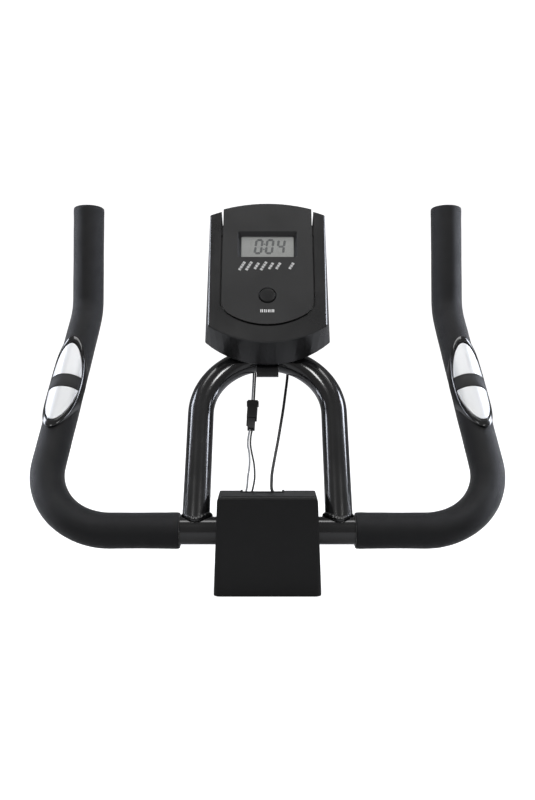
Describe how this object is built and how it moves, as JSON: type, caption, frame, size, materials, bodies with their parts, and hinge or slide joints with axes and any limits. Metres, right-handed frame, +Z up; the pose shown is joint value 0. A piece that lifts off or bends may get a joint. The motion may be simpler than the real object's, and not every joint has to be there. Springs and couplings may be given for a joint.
{
  "type": "exercise bike handlebar and console",
  "caption": "Exercise-bike handlebar head: bent bar with foam grips and pulse sensors, battery console on a steel hoop, clamp with cover.",
  "frame": {"origin": "centre of the post socket's lower mouth, on its axis", "axes": "+X to the rider's right along the bar, +Y away from the rider, +Z up the post"},
  "size_m": [0.452, 0.2375, 0.3684],
  "materials": {
    "black_paint": "gloss",
    "zinc_fasteners": "satin",
    "cover_plastic": "matte",
    "black_rubber": "matte",
    "white_nylon": "matte",
    "lead_wire": "satin",
    "grip_foam": "matte foam",
    "black_nylon": "matte",
    "bezel_plastic": "gloss",
    "sensor_steel": "polished",
    "black_pvc": "satin",
    "console_plastic": "fine texture",
    "clear_window": "clear",
    "lcd_grey": "satin",
    "pale_silicone": "matte",
    "green_board": "satin",
    "button_rubber": "matte",
    "battery_jacket": "gloss",
    "nickel": "bright"
  },
  "bodies": {
    "stem": {"post_socket": "black_paint", "clamp_saddle": "black_paint", "clamp_cap": "black_paint", "clamp_bolts": "zinc_fasteners", "post_screws": "zinc_fasteners", "post_nuts": "zinc_fasteners", "front_cover": "cover_plastic", "rear_cover": "cover_plastic", "cover_screws": "zinc_fasteners", "cable_bushing": "black_rubber", "post_connector": "white_nylon", "sensor_lead_lower": "lead_wire"},
    "handlebar": {"handlebar_tube": "black_paint", "console_hoop": "black_paint", "hoop_welds": "black_paint", "grip_left": "grip_foam", "grip_right": "grip_foam", "end_cap_left": "black_nylon", "end_cap_right": "black_nylon", "sensor_housing_left": "bezel_plastic", "sensor_housing_right": "bezel_plastic", "sensor_plate_upper_left": "sensor_steel", "sensor_plate_lower_left": "sensor_steel", "sensor_plate_upper_right": "sensor_steel", "sensor_plate_lower_right": "sensor_steel", "pulse_wire_left": "black_pvc", "pulse_wire_right": "black_pvc", "bar_grommet": "black_rubber", "console_bracket": "black_paint", "bracket_welds": "black_paint", "bracket_screws": "zinc_fasteners", "console_front": "console_plastic", "console_panel": "console_plastic", "console_back": "console_plastic", "console_screws": "zinc_fasteners", "lcd_lens": "clear_window", "lcd_glass": "lcd_grey", "lcd_contact_strips": "pale_silicone", "circuit_board": "green_board", "board_screws": "zinc_fasteners", "button_dome": "pale_silicone", "buzzer": "black_nylon", "batteries": "battery_jacket", "battery_springs": "nickel", "battery_contacts": "nickel", "lead_grommet": "black_rubber", "sensor_lead_upper": "lead_wire", "connector_socket": "black_nylon", "connector_plug": "black_nylon", "pulse_jack": "black_nylon", "pulse_plug": "black_pvc", "pulse_lead": "black_pvc"},
    "mode_button": {"mode_button": "button_rubber"},
    "battery_door": {"battery_door": "console_plastic"}
  },
  "joints": [
    {"name": "handlebar_tilt", "type": "hinge", "parent": "stem", "child": "handlebar", "pos_m": [0, 0, 0.053], "axis": [1, 0, 0], "range_deg": [-8, 8], "deforming": ["sensor_lead_lower"]},
    {"name": "mode_press", "type": "slide", "parent": "handlebar", "child": "mode_button", "axis": [0, 0.8788, -0.4772], "range_m": [0, 0.0012], "stiffness_N_per_m": 600},
    {"name": "battery_door_hinge", "type": "hinge", "parent": "handlebar", "child": "battery_door", "pos_m": [0, 0.13896, 0.28137], "axis": [-1, 0, 0], "range_deg": [0, 95]}
  ]
}
